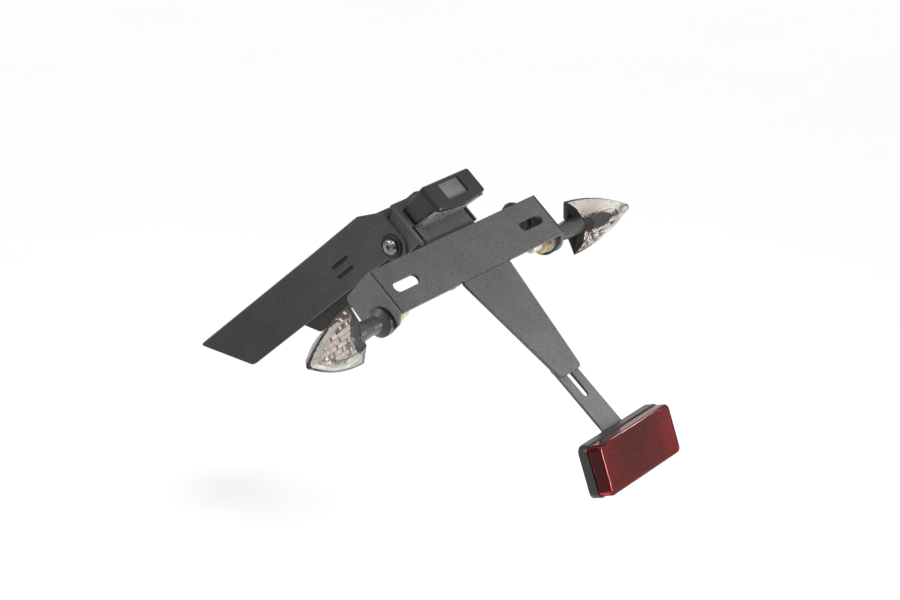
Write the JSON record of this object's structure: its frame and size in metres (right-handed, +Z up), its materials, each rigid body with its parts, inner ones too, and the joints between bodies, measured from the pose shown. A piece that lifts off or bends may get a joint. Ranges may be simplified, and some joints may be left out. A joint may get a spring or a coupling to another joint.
{
  "type": "tail tidy",
  "caption": "Folded sheet tail tidy for a motorbike: a sloping mounting bracket, a tilting number plate carrier with indicators and a plate lamp, and a red reflector on a sliding strip.",
  "frame": {"origin": "middle of the circle of mounting holes, on the top face of the main bracket", "axes": "+X the rider's right, +Y forward along the motorbike, +Z up"},
  "size_m": [0.4258, 0.405, 0.2054],
  "materials": {
    "black_coat": "satin black powder coat",
    "zinc_steel": "zinc plated",
    "bolt_steel": "dark plated bolt and washer",
    "brass_nut": "plated brass",
    "black_plastic": "moulded black plastic",
    "black_rubber": "moulded black rubber",
    "lead_sheath": "black sleeve",
    "clear_lens": "clear moulded lens",
    "red_lens": "red prismatic lens",
    "bright_chrome": "bright plated tray",
    "bulb_glass": "amber bulb",
    "circuit_board": "circuit board",
    "led_resin": "clear resin"
  },
  "bodies": {
    "bracket": {"main_bracket": "black_coat", "pivot_bolt_right": "bolt_steel", "pivot_bolt_left": "bolt_steel", "pivot_washer_right": "bolt_steel", "pivot_washer_left": "bolt_steel", "pivot_nut_right": "zinc_steel", "pivot_nut_left": "zinc_steel"},
    "carrier": {"plate_carrier": "black_coat", "neck_plate": "black_coat", "strip_stud": "zinc_steel", "strip_washer": "zinc_steel", "strip_nut": "zinc_steel", "lamp_screws": "zinc_steel", "lamp_body": "black_plastic", "lamp_hood": "black_plastic", "lamp_window": "clear_lens", "lamp_lens": "clear_lens", "lamp_gasket": "black_rubber", "lamp_board": "circuit_board", "lamp_leds": "led_resin", "indicator_lead_right": "lead_sheath", "indicator_lead_left": "lead_sheath", "lead_plug_right": "black_plastic", "lead_plug_left": "black_plastic", "indicator_washer_right": "zinc_steel", "indicator_washer_left": "zinc_steel", "indicator_spring_washer_right": "zinc_steel", "indicator_spring_washer_left": "zinc_steel", "indicator_stud_right": "zinc_steel", "indicator_stud_left": "zinc_steel", "indicator_housing_right": "black_plastic", "indicator_housing_left": "black_plastic", "indicator_lens_right": "clear_lens", "indicator_lens_left": "clear_lens", "indicator_cover_right": "clear_lens", "indicator_cover_left": "clear_lens", "indicator_chrome_right": "bright_chrome", "indicator_chrome_left": "bright_chrome", "indicator_bulb_right": "bulb_glass", "indicator_bulb_left": "bulb_glass", "indicator_stalk_right": "black_rubber", "indicator_stalk_left": "black_rubber", "indicator_nut_right": "brass_nut", "indicator_nut_left": "brass_nut"},
    "reflector": {"reflector_strip": "black_coat", "reflector_base": "black_plastic", "reflector_lens": "red_lens", "reflector_stud": "zinc_steel", "reflector_washer": "zinc_steel", "reflector_nut": "zinc_steel"}
  },
  "joints": [
    {"name": "carrier_tilt", "type": "hinge", "parent": "bracket", "child": "carrier", "pos_m": [0, -0.12251, 0.06093], "axis": [1, 0, 0], "range_deg": [-10, 20]},
    {"name": "strip_slide", "type": "slide", "parent": "carrier", "child": "reflector", "axis": [0, -0.7771, -0.6293], "range_m": [-0.026, 0.01]}
  ]
}
